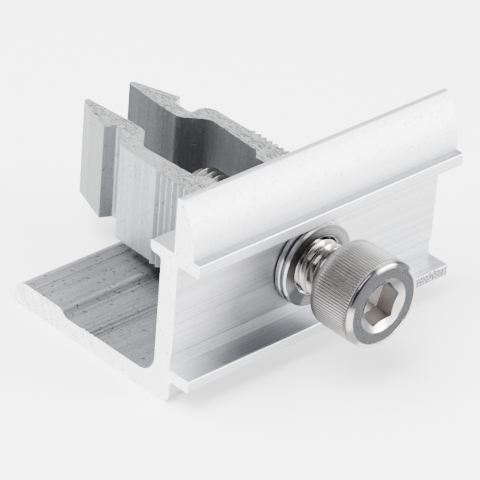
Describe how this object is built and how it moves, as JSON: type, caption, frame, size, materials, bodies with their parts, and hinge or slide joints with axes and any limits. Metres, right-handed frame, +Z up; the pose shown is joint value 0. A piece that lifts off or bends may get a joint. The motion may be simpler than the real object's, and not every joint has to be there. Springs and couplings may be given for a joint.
{
  "type": "solar end clamp",
  "caption": "Extruded aluminium end clamp with a foot, web and tapered lip, a socket head cap screw with washers, and a barbed channel nut.",
  "frame": {"origin": "On the foot's underside, under the middle of the web, halfway along the extrusion.", "axes": "+X runs along the extrusion, +Y along the screw from its head to its end, so the foot and the nut point along +Y, and +Z is up from the foot to the lip."},
  "size_m": [0.05, 0.0577, 0.0327],
  "materials": {
    "clamp_aluminium": "drawn mill finish",
    "nut_aluminium": "dull drawn, sawn ends",
    "screw_steel": "stainless, fine knurl and satin face",
    "washer_steel": "stainless, bright rim"
  },
  "bodies": {
    "clamp_body": {"clamp_profile": "clamp_aluminium"},
    "nut_body": {"channel_nut": "nut_aluminium"},
    "screw_body": {"cap_screw": "screw_steel"},
    "rear_washer_body": {"rear_washer": "washer_steel"},
    "front_washer_body": {"front_washer": "washer_steel"}
  },
  "joints": [
    {"name": "screw_turn", "type": "hinge", "parent": "clamp_body", "child": "screw_body", "pos_m": [0, 0, 0.0141], "axis": [0, 1, 0], "range_deg": [-2520, 828]},
    {"name": "nut_travel", "type": "slide", "parent": "clamp_body", "child": "nut_body", "axis": [0, 1, 0], "range_m": [-0.0029, 0.0088]},
    {"name": "rear_washer_slide", "type": "slide", "parent": "clamp_body", "child": "rear_washer_body", "axis": [0, -1, 0], "range_m": [0, 0.0024]},
    {"name": "front_washer_slide", "type": "slide", "parent": "rear_washer_body", "child": "front_washer_body", "axis": [0, -1, 0], "range_m": [0, 0.0024]}
  ],
  "couplings": [
    {"joint": "nut_travel", "follows": "screw_turn", "m_per_rad": -0.00019894}
  ]
}
